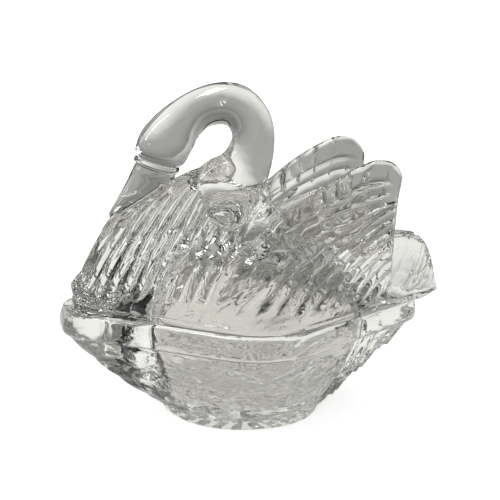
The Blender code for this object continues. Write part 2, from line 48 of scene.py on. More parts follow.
# %% [markdown]
# ## The camera
# The photograph looks down on the swan a little, from the front left, and the picture leans to
# the right. A camera is a point and three directions. They are worked out from the bearing, the
# height angle and the roll, and written straight into the camera's matrix.

# %% Camera
AZIMUTH, ELEVATION, ROLL = np.radians([-18.61, 18.53, 5.02])
TARGET = np.array([-1.64, 0.0, 70.16])      # point looked at, mm
DISTANCE = 450.0                            # from that point, mm
FOCAL_SHARE = 1047.6 / 500                  # focal length as a share of the picture's width
SENSOR = 36.0                               # width of the sensor, mm
NEAREST = 0.01                              # nothing nearer is drawn, m

back = np.array([np.sin(AZIMUTH) * np.cos(ELEVATION),
                 -np.cos(AZIMUTH) * np.cos(ELEVATION),
                 np.sin(ELEVATION)])
level = np.array([np.cos(AZIMUTH), np.sin(AZIMUTH), 0.0])
above = np.cross(back, level)
right = level * np.cos(ROLL) + above * np.sin(ROLL)
up = above * np.cos(ROLL) - level * np.sin(ROLL)
place = np.eye(4)
place[:3, :3] = np.stack([right, up, back], 1)
place[:3, 3] = (TARGET + back * DISTANCE) * MM
lens = bpy.data.cameras.new("camera")
lens.lens = FOCAL_SHARE * SENSOR
lens.sensor_width = SENSOR
lens.clip_start = NEAREST
camera = bpy.data.objects.new("camera", lens)
bpy.context.scene.collection.objects.link(camera)
camera.matrix_world = Matrix(place.tolist())
bpy.context.scene.camera = camera
print("camera at", (place[:3, 3] / MM).round(1), "mm, lens", round(lens.lens, 2), "mm")

# %% [markdown]
# ## Curves and flutes
# Three small helpers serve all the glass. `smooth` is a step with level ends, `curve_through` is a
# smooth line through measured points, and `reed` is the cross-section of a row of reeds: the
# absolute value of a sine gives round crowns with sharp valleys between them.

# %% Helpers for curves
REED_POWER = 0.8        # below 1 it makes the crowns broader and the valleys sharper


def smooth(t):
    """3t^2 - 2t^3 between 0 and 1, level at both ends."""
    t = np.clip(t, 0.0, 1.0)
    return t * t * (3.0 - 2.0 * t)


def curve_through(knots, at):
    """Cubic Hermite pieces through knots whose first column is the parameter, read at 'at'."""
    knots = np.asarray(knots, float)
    x = knots[:, 0]
    y = knots[:, 1:]
    slope = np.gradient(y, x, axis=0)
    at = np.clip(np.asarray(at, float), x[0], x[-1])
    k = np.clip(np.searchsorted(x, at, side="right") - 1, 0, len(x) - 2)
    width = (x[k + 1] - x[k])[..., None]
    t = ((at - x[k]) / (x[k + 1] - x[k]))[..., None]
    value = (y[k] * (1 + 2 * t) * (1 - t) ** 2 + slope[k] * width * t * (1 - t) ** 2
             + y[k + 1] * t * t * (3 - 2 * t) + slope[k + 1] * width * t * t * (t - 1))
    return value[..., 0] if y.shape[1] == 1 else value


def along(points, at):
    """Points at shares 'at' of the length of a smooth curve through the given points."""
    points = np.asarray(points, float)
    run = np.concatenate([[0], np.cumsum(np.linalg.norm(np.diff(points, axis=0), axis=1))])
    return curve_through(np.column_stack([run / run[-1], points]), at)


def reed(phase):
    """|sin(pi phase)|^0.8 - 1: 0 on a crown, -1 in a sharp valley."""
    return np.abs(np.sin(np.pi * phase)) ** REED_POWER - 1.0


print("reed from valley to crown", reed(np.array([0.0, 0.1, 0.25, 0.5])).round(2).tolist())

# %% [markdown]
# ## The plan
# Seen from above, dish and lid share one outline: a long hexagon with a blunt prow, a narrow
# stern and rounded side corners. The corners are parabolas (quadratic Bezier arcs) that start at
# a share of each side, which is how a mould maker blends two flats.

# %% The rounded hexagon
# Corners in mm: prow and stern from the middle, the side corner, half width of prow and stern.
# Prow and sides lie a little inside the packed solids' ones, as finer rows reach further out
PROW_X, STERN_X, SIDE_X, SIDE_Y = 77.45, 77.9, -2.65, 47.42
NOSE_Y, HEEL_Y = 8.3, 4.95
# Shares of the two sides that meet in a corner where its arc begins and ends: side corner, long
# side at an end, and the end itself
CORNER_SHARE, END_SHARE, TIP_SHARE = 0.27, 0.10, 0.7
ARC_POINTS = 60


def half_outline(corners, shares, at):
    """Half of a rounded outline, from its front to its rear, read at shares 'at' of its length."""
    corners = np.asarray(corners, float)
    t = np.linspace(0, 1, ARC_POINTS)[:, None]
    points = [corners[:1]]
    for k, share in enumerate(shares, start=1):
        here = corners[k]
        before = here + (corners[k - 1] - here) * share[0]
        after = here + (corners[k + 1] - here) * share[1]
        points.append(before * (1 - t) ** 2 + 2 * here * t * (1 - t) + after * t * t)
    points.append(corners[-1:])
    points = np.concatenate(points)
    run = np.concatenate([[0], np.cumsum(np.hypot(*np.diff(points, axis=0).T))])
    at = np.asarray(at) * run[-1]
    return np.stack([np.interp(at, run, points[:, 0]), np.interp(at, run, points[:, 1])], -1), run[-1]


def hexagon(prow, stern, side, nose, heel, at):
    """The rounded hexagon of the rim, as its half with y >= 0."""
    corners = [(-prow, 0), (-prow, nose), (SIDE_X, side), (stern, heel), (stern, 0)]
    shares = [(TIP_SHARE, END_SHARE), (CORNER_SHARE, CORNER_SHARE), (END_SHARE, TIP_SHARE)]
    return half_outline(corners, shares, at)


def outward(outline):
    """Unit normals of a half outline, pointing out of the plan."""
    step = np.gradient(outline, axis=0)
    normal = np.stack([-step[:, 1], step[:, 0]], -1)
    return normal / np.maximum(np.linalg.norm(normal, axis=1, keepdims=True), 1e-9)


print("plan", hexagon(PROW_X, STERN_X, SIDE_Y, NOSE_Y, HEEL_Y, [0, 0.5, 1])[0].round(1).tolist())

# %% [markdown]
# ## From numbers to a closed shell
# A grid of points becomes a mesh with one foreach_set for the points and one list of quads. The
# swan is alike on both sides, so a form is worked out as its half with y above 0. Its mirror image
# is added, the points that coincide on the middle plane are merged, and all faces are turned out.

# %% Mesh helpers
ON_PLANE, HAIR = 1e-9, 0.02         # what counts as on the middle plane, and the least distance else, mm
MERGE, SHORTEST = 1e-7, 1e-8        # points this near are one, and edges this short go, m


def ring(xy, z):
    """A row of points over the plan points 'xy'; the height is one number or one for each point."""
    return np.column_stack([xy, np.broadcast_to(z, len(xy))])


def quads(rows, columns, wrap=False):
    """Corner numbers of a grid's quads; 'wrap' joins the last column to the first."""
    i, j = np.meshgrid(np.arange(rows - 1), np.arange(columns if wrap else columns - 1), indexing="ij")
    a = (i * columns + j).ravel()
    b = (i * columns + (j + 1) % columns).ravel()
    return np.stack([a, b, b + columns, a + columns], -1)


def solid(name, points, faces, mirrored=False):
    """Object of one closed shell: merges what coincides, mirrors a half, turns faces outwards."""
    points = np.array(points, float)
    if mirrored:
        # Only the rim of the half lies on the middle plane; all else stays a hair off it
        y = points[..., 1]
        points[..., 1] = np.where(np.abs(y) < ON_PLANE, 0.0, np.maximum(y, HAIR))
        points[:, [0, -1], 1] = 0.0
    mesh = bpy.data.meshes.new(name)
    mesh.from_pydata((points.reshape(-1, 3) * MM).tolist(), [], [list(f) for f in faces])
    bm = bmesh.new()
    bm.from_mesh(mesh)
    if mirrored:
        copy = bmesh.ops.duplicate(bm, geom=bm.verts[:] + bm.edges[:] + bm.faces[:])["geom"]
        bmesh.ops.scale(bm, vec=(1, -1, 1), verts=[g for g in copy if isinstance(g, bmesh.types.BMVert)])
    bmesh.ops.remove_doubles(bm, verts=bm.verts, dist=MERGE)
    bmesh.ops.dissolve_degenerate(bm, edges=bm.edges, dist=SHORTEST)
    bmesh.ops.recalc_face_normals(bm, faces=bm.faces)
    loose = sum(not e.is_manifold for e in bm.edges)
    bm.to_mesh(mesh)
    bm.free()
    piece = bpy.data.objects.new(name, mesh)
    bpy.context.scene.collection.objects.link(piece)
    print(name, len(mesh.polygons), "faces, open edges", loose)
    return piece


print("quads of a grid of 2 by 3 points", quads(2, 3).tolist())

# %% [markdown]
# ## The dish
# The dish is one shell that runs from the middle of the foot out, up the hull, over the rim and
# down into the cavity. It was pressed in a mould, so it can be told ring by ring from the bottom
# up. These are its sizes: heights and widths in mm, and counts.

# %% Sizes of the dish
# Rim, the foot of the smooth band under it, and how far the band bulges
RIM_Z, BAND_Z, BAND_BULGE = 46.85, 37.5, 2.0
# How far the hull's top stays inside the band, and how far the prow's nose stands proud
BAND_STEP, NOSE_EXTRA = 2.6, 2.2
# Half length, half width, middle, exponent and height of the foot's oval
FOOT_A, FOOT_B, FOOT_X, FOOT_SHAPE, FOOT_H = 35.5, 30.9, -0.9, 2.2, 4.0
# Inset and height of the rounding at the foot's resting ring, and how far the foot flares
FOOT_EDGE = ((1.2, 0.0), (0.5, 0.1), (0.15, 0.4), (0.0, 0.9))
FOOT_FLARE = 0.5
HULL_SWELL = 1.4        # exponent of the hull's rise: above 1 it flares out low down
# The stern's feather tiers, the prow's flutes, and the scallops along a tier
TIERS, TIER_DEPTH, FLUTE_DEPTH, SCALLOP_PITCH, SCALLOP_DEPTH = 4, 2.0, 1.0, 9.0, 0.35
END_FROM, END_FADE = 38, 14         # both begin this far from the middle and fade in over this
LEAF_X, LEAF_TILT, LEAF_LENGTH, LEAF_WIDTH, LEAF_Z, LEAF_RISE = (-19.0, 14.0), 0.2, 19.0, 6.5, 26.0, 1.4
STAR_RAYS, STAR_DEPTH, STAR_END = 24, 1.2, 0.92
CAVITY_PROW, CAVITY_STERN, CAVITY_END, CAVITY_WALL = 49.0, 47.0, 20.0, 6.5
FLOOR_Z, FLOOR_SCALE, FLOOR_ROUND = 9.0, 0.66, 0.6
print("dish", RIM_Z, "mm high on a foot of", 2 * FOOT_A, "by", 2 * FOOT_B, "mm")

# %% [markdown]
# ## Foot and cavity in plan
# The foot is a superellipse, an oval a little boxier than an ellipse. The cavity's mouth is a
# shorter hexagon of the same family, so prow and stern stay solid glass, as in a heavy pressing.

# %% Plans of foot and cavity


def foot_outline(at_angle):
    """The foot's oval, a superellipse, at angles measured from the prow."""
    c, s = np.cos(at_angle), np.sin(at_angle)
    x = FOOT_X - FOOT_A * np.sign(c) * np.abs(c) ** (2 / FOOT_SHAPE)
    return np.stack([x, FOOT_B * np.abs(s) ** (2 / FOOT_SHAPE)], -1)


def cavity_outline(at, grow=0.0):
    """Mouth of the cavity: the same hexagon family, shorter, so that prow and stern stay solid."""
    end = CAVITY_END + grow
    side = SIDE_Y - CAVITY_WALL + grow
    return hexagon(CAVITY_PROW + grow, CAVITY_STERN + grow, side, end, end, at)[0]


def nose(plan):
    """How far the dish's nose stands proud of the plan: all of it at the prow, none at the sides."""
    return NOSE_EXTRA * smooth((-plan[:, 0] - 60) / 18)


print("cavity's mouth", np.ptp(cavity_outline([0, 1])[:, 0]).round(1), "mm long")

# %% [markdown]
# ## Rings of the dish
# A star is cut under the foot: a cosine over the angle, faded out towards the middle and the edge.
# On the hull the stern carries overlapping feather tiers: a saw-tooth in the height makes each
# tier's lip, and a cosine along the hull scallops it. The prow carries long flutes, and the sides
# have leaves in low relief, each a soft mound over an ellipse.

# %% Rings of foot and hull


def foot_rings(foot, out, angle):
    """From the foot's middle out over the star to the resting ring, and up the foot's side."""
    middle = np.array([FOOT_X, 0.0])
    cut = STAR_DEPTH * np.clip(np.cos(STAR_RAYS * angle), 0, 1)
    rows = []
    for share in np.linspace(0, 0.93, 32):
        deep = cut * smooth(share / 0.25) * smooth((STAR_END - share) / 0.12)
        rows.append(ring(middle + (foot - middle) * share, deep))
    for inset, z in FOOT_EDGE:
        rows.append(ring(foot - out * inset, z))
    edge_z = FOOT_EDGE[-1][1]
    for t in np.linspace(0.1, 1, 8):
        rows.append(ring(foot + out * FOOT_FLARE * t, edge_z + (FOOT_H - edge_z) * t))
    return rows


def leaves(x, z):
    """Height of the leaves in low relief on the hull's sides."""
    rise = np.zeros(len(x))
    for leaf_x in LEAF_X:
        axis = LEAF_Z + LEAF_TILT * np.sign(leaf_x) * (x - leaf_x)
        span = ((x - leaf_x) / LEAF_LENGTH) ** 2 + ((z - axis) / LEAF_WIDTH) ** 2
        rise = np.maximum(rise, LEAF_RISE * smooth(1.6 * (1 - span)))
    return rise


def hull_rings(plan, s, start, top, flank_rows):
    """From the foot's top to the band, at the shares of that way given in 'flank_rows'."""
    normal = outward(plan)
    stern_end = smooth((plan[:, 0] - END_FROM) / END_FADE)
    prow_end = smooth((-plan[:, 0] - END_FROM) / END_FADE)
    rows = []
    for t in flank_rows:
        xy = start + (top - start) * t
        z = FOOT_H + 0.4 + (BAND_Z - 1.5 - FOOT_H) * t ** HULL_SWELL
        tier = t * TIERS
        lobes = SCALLOP_DEPTH * np.cos(2 * np.pi * s / SCALLOP_PITCH + np.pi * np.floor(tier))
        lip = TIER_DEPTH * (1 - (tier - np.floor(tier))) * (0.8 + lobes) * stern_end
        lip = lip + FLUTE_DEPTH * (1 + reed(tier)) * prow_end
        lip = lip * smooth(t / 0.1) * smooth((1 - t) / 0.05)
        rows.append(ring(xy + normal * (lip + leaves(xy[:, 0], z))[:, None], z))
    return rows


print("leaves rise", float(leaves(np.array(LEAF_X), LEAF_Z).max().round(2)), "mm")

# %% [markdown]
# ## Rim, cavity and the whole dish
# The band under the rim is smooth: seven steps with a curve through them. The cavity narrows to
# its floor as a rounded bowl, since glass has to come off the plunger. On the hull one more row
# stands just under each tier's lip, where the surface jumps.

# %% Rings of rim and cavity
# Height, and how far the band stands out of the plan there
BAND = [(BAND_Z - 0.6, BAND_BULGE - 1.4), (BAND_Z, BAND_BULGE - 0.5), (BAND_Z + 2, BAND_BULGE),
        (BAND_Z + 5, BAND_BULGE - 0.2), (RIM_Z - 1.6, BAND_BULGE - 0.9), (RIM_Z - 0.5, BAND_BULGE - 1.6),
        (RIM_Z, BAND_BULGE - 2.6)]
BAND_ROWS = 25


def band_rings(plan):
    """The smooth band, from the hull's top up to the rim."""
    steps = np.arange(len(BAND))
    path = curve_through(np.column_stack([steps, BAND]), np.linspace(0, steps[-1], BAND_ROWS))
    normal = outward(plan)
    swell = nose(plan)
    return [ring(plan + normal * (grow + swell)[:, None], min(z, RIM_Z)) for z, grow in path]


def cavity_rings(at):
    """From the rim's inner edge down to the middle of the cavity's floor."""
    mouth = cavity_outline(at)
    floor = mouth * FLOOR_SCALE
    rows = [ring(cavity_outline(at, grow), RIM_Z - drop) for grow, drop in ((0.8, 0.0), (0.3, 0.2), (0.0, 0.8))]
    for t in np.linspace(0.04, 0.97, 30):
        rows.append(ring(floor + (mouth - floor) * (1 - t ** 1.6) ** 0.9, RIM_Z - (RIM_Z - FLOOR_Z) * t))
    for share in (0.95, 0.9, 0.8, 0.6, 0.4, 0.2, 0.0):
        rows.append(ring(floor * share, FLOOR_Z + FLOOR_ROUND * max(share - 0.8, 0) / 0.2))
    return rows


def dish_half(columns, flank_rows):
    """Half of the dish (ring, point, xyz), from the foot's centre to the cavity's floor."""
    at = np.linspace(0, 1, columns)
    plan, run = hexagon(PROW_X, STERN_X, SIDE_Y, NOSE_Y, HEEL_Y, at)
    angle = np.pi * at
    foot = foot_outline(angle)
    out = outward(foot)
    top = plan + outward(plan) * (BAND_BULGE - BAND_STEP + nose(plan))[:, None]
    hull = hull_rings(plan, at * run, foot + out * 0.2, top, flank_rows)
    return np.stack(foot_rings(foot, out, angle) + hull + band_rings(plan) + cavity_rings(at))


under_lips = [k / TIERS - 0.004 for k in range(1, TIERS)]
flank = np.sort(np.concatenate([np.linspace(0, 0.99, 70), under_lips]))
half = dish_half(272, flank)
dish = solid("dish_glass_body", half, quads(*half.shape[:2]), mirrored=True)

# %% [markdown]
# ## The swan's body
# The lid's body starts at the plan and rises to a ridge in the middle plane. Each column of points
# leaves the plan and leans back to its own place on the ridge, so the reeds cut along the columns
# lean as the feathers do. The cross-section is a superellipse. The chest has two tiers: the upper
# one stands proud and ends in pointed feather tips over the lower one.

# %% Tables of the body
# Gap under the lid, height and inset of its flange
LID_GAP, FLANGE_H, FLANGE_INSET = 0.3, 3.3, 0.7
# Locating lip: height, gap to the cavity's mouth, thickness
LIP_H, LIP_GAP, LIP_T = 2.4, 0.8, 3.0
# Hollow: height of its top, how much it shortens up to there, and the least wall beside it
HOLLOW_Z, HOLLOW_DRAW, HOLLOW_WALL = 74.0, 0.28, 1.0
# Tail: end of its plan, height of its top, end of the ridge, and how far its foot rises
TAIL_X, TAIL_Z, TAIL_TIP, TAIL_RISE = 91.5, 77.3, 90.2, 2.0
# Body: inset from the plan, extra inset under the wings, and the bead round the chest's foot
BODY_INSET, WING_BED, BASE_BEAD, BEAD_Z = 1.2, 4.5, 2.2, 56.0
# Chest: height where reeds begin, their number and depth, and how far along the plan they go
REED_Z, REEDS, REED_DEPTH, CHEST_RUN = 55.5, 12, 1.4, 64.0
TAIL_REEDS, TAIL_RUN = 6, 30.0
TIER_PROUD, TIP_DROP = 1.6, 4.0     # how far the upper tier stands out, and how long its tips are
SEAT = RIM_Z + LID_GAP
TOP = SEAT + FLANGE_H

# The ridge in the middle plane: X, height
RIDGE = [(-67, 79), (-62, 86.5), (-50, 94), (-36, 102.2), (-26, 106.6), (-17, 108), (-9, 106), (-2, 100),
         (5, 92.5), (12, 88), (28, 82.5), (45, 78.5), (60, 77), (72, TAIL_Z), (78, 75.5), (84, 67),
         (TAIL_TIP, 51.5)]
# Where the lines that start along the plan (share of its length) meet the ridge (X)
LEAN = [(0, -66), (0.04, -54), (0.086, -39.5), (0.114, -33), (0.151, -24.5), (0.183, -18.5),
        (0.213, -11), (0.26, -5), (0.32, 0), (0.46, 12), (0.6, 32), (0.76, 62), (0.89, 80), (1, TAIL_TIP)]
# Along the plan (X): how late those lines lean
LEAN_BEND = [(-PROW_X, 1.4), (-28, 1.4), (10, 1.1), (TAIL_X, 1.1)]
# Along the plan (X): how boxy the cross-section is upwards, and how round its ridge is
SECTION = [(-PROW_X, 1.15, 2.3), (-28, 1.15, 2.2), (0, 1.8, 2.2), (20, 2.4, 2.5), (60, 3.2, 3.0),
           (TAIL_X, 3.0, 3.0)]
# Height of the upper tier's feather tips, along the plan in mm
TIER_LINE = [(0, 72), (17, 74), (30, 77), (43, 76.5), (54, 79), (CHEST_RUN, 84), (90, 90)]
print("lid sits at", round(SEAT, 2), "mm, body starts at", round(TOP, 2), "mm")

# %% [markdown]
# ## The lid's plan and hollow
# The lid's sides run on past the dish's stern into the narrow tail. Columns of points are dense on
# the chest and the tail, where reeds need them. The hollow under the back is a bowl that shortens
# upwards, and its width falls off as (1 - t^2.2)^(1/2.2).

# %% Plan, columns and hollow


def lid_plan(at):
    """Plan of the lid: the dish's plan, but its rear sides run on to the end of the narrow tail."""
    rear_slope = (SIDE_Y - HEEL_Y) / (STERN_X - SIDE_X)
    end_y = max(HEEL_Y - rear_slope * (TAIL_X - STERN_X), 1.2)
    return hexagon(PROW_X, TAIL_X, SIDE_Y, NOSE_Y, end_y, at)


def cover_columns(per_reed, middle):
    """Shares of the plan's length at which columns stand: dense on the chest, even elsewhere."""
    _, run = lid_plan([0.0, 1.0])
    chest = np.linspace(0, CHEST_RUN / run, REEDS * per_reed + 1)
    tail_share = TAIL_RUN / run
    rest = np.linspace(CHEST_RUN / run, 1 - tail_share, middle + 1)[1:]
    tail = np.linspace(1 - tail_share, 1, TAIL_REEDS * per_reed + 1)[1:]
    return np.concatenate([chest, rest, tail])


def hollow_width(t):
    """Width of the hollow at share t of its height: (1 - t^2.2)^(1/2.2) of its width below."""
    return (1 - t ** 2.2) ** (1 / 2.2)


def hollow_y(x, z):
    """Half width of the hollow under the back at x and height z."""
    mouth = cavity_outline(np.linspace(0, 1, 200), -LIP_GAP - LIP_T)
    t = np.clip((z - RIM_Z - LID_GAP) / (HOLLOW_Z - RIM_Z - LID_GAP), 0, 1)
    return np.interp(x / (1 - HOLLOW_DRAW * t), mouth[:, 0], mouth[:, 1]) * hollow_width(t)


print("half width of the hollow at its foot", float(hollow_y(0.0, SEAT).round(1)), "mm")

# %% [markdown]
# ## The lid's base
# The base is what fits the dish: the hollow, the lip that keeps the lid in place and the plain
# flange that rests on the rim. Each row of the flange is the plan moved in; under the tail its
# lower rows rise a little.

# %% Rings of the base
# Share of the lip's thickness from its inner side, and height
LIP_PROFILE = ((0.0, SEAT - 0.8), (0.15, SEAT - LIP_H + 0.6), (0.4, SEAT - LIP_H), (0.8, SEAT - LIP_H),
               (1.0, SEAT - LIP_H + 0.8), (1.0, SEAT))
# Inset, height, and whether the row rises under the tail
FLANGE_PROFILE = ((0.6, SEAT, 1), (0.2, SEAT + 0.1, 1), (0.0, SEAT + 0.5, 1),
                  (0.0, TOP - 0.7, 0), (0.15, TOP - 0.2, 0), (0.6, TOP, 0))


def base_rings(at, plan):
    """From the hollow's top down to the lip, and out over the flange to the body's foot."""
    mouth = cavity_outline(at, -LIP_GAP)
    inner = cavity_outline(at, -LIP_GAP - LIP_T)
    normal = outward(plan)
    flange = plan - normal * FLANGE_INSET
    rows = []
    for t in np.concatenate([[1.0], 1 - np.geomspace(0.01, 0.98, 28)]):
        rows.append(ring(inner * [1 - HOLLOW_DRAW * t, hollow_width(t)], SEAT + (HOLLOW_Z - SEAT) * t))
    for share, z in LIP_PROFILE:
        rows.append(ring(inner + (mouth - inner) * share, z))
    rise = TAIL_RISE * smooth((plan[:, 0] - STERN_X - 2) / (TAIL_X - STERN_X - 2))
    for inset, z, rises in FLANGE_PROFILE:
        rows.append(ring(flange - normal * inset, z + rise * rises))
    return rows


print("flange from", round(FLANGE_PROFILE[0][1], 2), "to", round(FLANGE_PROFILE[-1][1], 2), "mm")

# %% [markdown]
# ## The body's side
# Rows climb from the flange to the ridge. Up to the tip line they belong to the lower tier, whose
# valleys deepen just under the upper tier's tips; above it they stand proud and thin out upwards.
# Near the ridge the crowns sink to the valleys' depth, so each reed ends in a point.

# %% The body's half


def body_half(per_reed, middle, lower, upper):
    """Half of the swan's body without wings and neck, with its flange and the hollow under it."""
    at = cover_columns(per_reed, middle)
    plan, run = lid_plan(at)
    s = at * run
    normal = outward(plan)
    bed = WING_BED * smooth((plan[:, 0] + 28) / 14) * smooth((66 - plan[:, 0]) / 8)
    foot = plan - normal * (BODY_INSET + bed)[:, None]
    ridge_x = curve_through(LEAN, at)
    ridge_z = curve_through(RIDGE, ridge_x)
    box, crest = curve_through(SECTION, plan[:, 0]).T
    lean = curve_through(LEAN_BEND, plan[:, 0])
    prow = smooth((-plan[:, 0] - 40) / 30)
    chest = 1 - smooth((s - CHEST_RUN + 3) / 3)
    tail = smooth((s - run + TAIL_RUN) / 4) * 0.4
    tail_phase = (s - run + TAIL_RUN) / TAIL_RUN * TAIL_REEDS
    phase = np.where(s <= CHEST_RUN, s / CHEST_RUN * REEDS, tail_phase)
    room = ridge_z - TOP
    tip_line = curve_through(TIER_LINE, s) - TIP_DROP * (1 + reed(phase)) * chest
    tip_line = TOP + np.minimum(tip_line - TOP, 0.6 * room)
    bottom = TOP + np.minimum(REED_Z - TOP, 0.3 * room)
    tiered = chest * smooth((s - 11) / 10)

    def side(z, proud, reeds):
        """A row on the body's side at height z: a superellipse from the plan up to the ridge."""
        share = np.clip((z - TOP) / (ridge_z - TOP), 0, 1)
        width = np.clip(1 - share ** box, 0, 1) ** (1 / crest)
        x = foot[:, 0] + (ridge_x - foot[:, 0]) * share ** lean
        y = foot[:, 1] * width
        bead = BASE_BEAD * prow * np.exp(-((z - BEAD_Z) / 4.0) ** 2)
        point = smooth((share - 0.78) / 0.17)
        cut = np.minimum(reed(phase), -point * chest)
        fade = smooth((1 - share) / 0.05)
        grow = bead + (proud + REED_DEPTH * reeds * cut) * fade
        return ring(np.stack([x, y], -1) + normal * grow[:, None], z)

    rows = base_rings(at, plan)
    for t in (0.004, 0.01, 0.02, 0.035):
        rows.append(side(TOP + t * room, 0.0, 0.0))
    for t in np.linspace(0.25, 1, 5):
        rows.append(side(TOP + 0.035 * room + (bottom - TOP - 0.035 * room) * t, 0.0, 0.0))
    reeds = np.maximum(chest, tail)
    for t in lower:
        pocket = 1.0 + tiered * np.exp(-((1 - t) / 0.16) ** 2)
        rows.append(side(bottom + (tip_line - bottom) * t, 0.0, reeds * smooth(t / 0.12) * pocket))
    high = ridge_z - tip_line
    for t in upper:
        rows.append(side(tip_line + high * t, TIER_PROUD * tiered * (1 - t), reeds))
    return np.stack(rows)


lower = np.concatenate([np.linspace(0.02, 0.6, 14), np.linspace(0.64, 0.985, 10)])
upper = np.concatenate([[0.012], 1 - (1 - np.linspace(0.03, 1, 34)) ** 1.6])
half = body_half(9, 60, lower, upper)
body = solid("body", half, quads(*half.shape[:2]), mirrored=True)

# %% [markdown]
# ## The wings
# Each wing is an upright leaf. Its outer face carries a band of short feathers along the top edge
# and, below a curved line, long ribs that fan from the foot to the rear edge. The lines follow the
# photograph; how far the edge stands from the middle plane is a guess.

# %% Tables of the wing
# Inner face's distance from the middle plane, rounding of the edges, and the least thickness
WING_INNER_Y, WING_ROUND, WING_THIN = 19.2, 2.1, 4.4
RIBS, RIB_DEPTH, SHORT_FEATHERS, SHORT_DEPTH, INNER_DEPTH = 9, 1.9, 9, 1.2, 1.5
RIB_BEND = 6.0          # exponent that makes the ribs straighter the further they are from the first
PLAIN_FOOT = 0.1        # share of a rib's row that is the wing's plain foot
BARS = 18               # bars along the inner face, counted over a row's whole length
FOOT_LINE = 48.5        # height of the wings' foot, sunk into the flange
# Top edge from the front: X, height, distance from the middle plane
WING_EDGE = [(-27, FOOT_LINE, 34.0), (-25.5, 62, 33.0), (-19.5, 72.5, 31), (-9.8, 80.8, 27.5),
             (-1, 87.5, 24.0), (7.7, 93.7, 21.8), (14.2, 99.1, 22.2), (20.1, 103.8, 22.7),
             (27.4, 108.6, 23.5), (35.2, 113, 23.8), (42, 115.7, 23.8), (46.5, 115.8, 23.8),
             (50.7, 114.3, 23.6), (53.8, 111.4, 23.5), (55.3, 108.3, 23.3)]
EDGE_TOP = 13           # points that the edge's height is read from; the rest lie behind the tip
# Line between short feathers and ribs, and the rear edge under it: X, height
RIB_LINE = [(-23, FOOT_LINE), (-16, 57.3), (-7.4, 65.3), (2.9, 72.9), (9.8, 77.3), (23.1, 85.6),
            (37.6, 91.9), (46, 95), (55.6, 97.6)]
WING_REAR = [(55.6, 97.6), (57.4, 80), (59, 70), (61.5, 58), (63.5, FOOT_LINE)]
# For each rib its share of the way from the rib line to the rear corner, the point where it starts
# (X, height) and its height at the rear edge
RIB_ENDS = [(0, -21, 51, 97.6), (0.111, -10.2, 56, 95.5), (0.222, -2.1, 56, 91),
            (0.333, 7.4, 55.2, 86), (0.444, 17.5, 54.4, 81), (0.556, 26.5, 53.5, 76),
            (0.667, 36, 53, 71), (0.778, 45.5, 52.3, 65), (0.889, 54.5, 51.2, 57.5),
            (1, 63.5, FOOT_LINE, FOOT_LINE)]
print("wing", max(z for _, z, _ in WING_EDGE), "mm high at its tip, with", RIBS, "ribs")

# %% [markdown]
# ## The wing's grid
# The rows of the grid follow the ribs, so that a rib is again a reed across the rows. The first
# rib is curved and the last is straight; each between them keeps (1 - share)^6 of the first one's
# bend.

# %% Grid and outer face of the wing


def wing_outer_y(x, z):
    """The wing's outer face: on the plan's side at its foot, at the tip line at its top."""
    front = NOSE_Y + (SIDE_Y - NOSE_Y) * (x + PROW_X) / (SIDE_X + PROW_X)
    rear = SIDE_Y + (HEEL_Y - SIDE_Y) * (x - SIDE_X) / (STERN_X - SIDE_X)
    foot = -2.4 * np.logaddexp(-front / 2.4, -rear / 2.4) - BODY_INSET
    edge = np.asarray(WING_EDGE)
    edge_z = curve_through(edge[:EDGE_TOP, :2], x)
    edge_y = curve_through(edge[:, [0, 2]], x)
    rise = np.clip((z - 50) / np.maximum(edge_z - 50, 4), 0, 1.1)
    return foot + (edge_y - foot) * rise ** 1.15


def wing_grid(columns, band_rows, rib_rows):
    """The leaf in its own plane (row, column, x z): rows of the band, rows of the ribs, rear corner."""
    edge = along(np.asarray(WING_EDGE)[:, :2], columns)
    line = along(RIB_LINE, columns)
    count = RIBS * rib_rows
    rows = [edge + (line - edge) * b ** 1.3 for b in np.linspace(0, 1, band_rows + 1)[:-1]]
    rear_x, rear_z = np.array(WING_REAR, float).T
    for share in np.arange(count) / count:
        *start, end_z = curve_through(RIB_ENDS, share)
        foot_x = RIB_LINE[0][0] + (rear_x[-1] - RIB_LINE[0][0]) * share ** 1.05
        knots = np.array([(foot_x, FOOT_LINE), start, (np.interp(-end_z, -rear_z, rear_x), end_z)])
        straight = np.column_stack([np.interp(columns, [0, PLAIN_FOOT, 1], knots[:, k]) for k in (0, 1)])
        if share == 0:
            bend = line - straight
        rows.append(straight + bend * (1 - share) ** RIB_BEND)
    rows.append(np.tile(np.array(WING_REAR[-1], float), (len(columns), 1)))
    return np.stack(rows)


print("outer face at the foot", float(wing_outer_y(0.0, 50.0).round(1)), "mm from the middle plane")

# %% [markdown]
# ## The wing's relief
# Inner and outer face are pulled together to a round edge: sqrt(1 - (1 - d)^2) of the thickness at
# d times the rounding from the rim. The reliefs fade out there too. On the inner face a ladder of
# short bars runs along the edge, with long grooves under it.

# %% The wing's surface


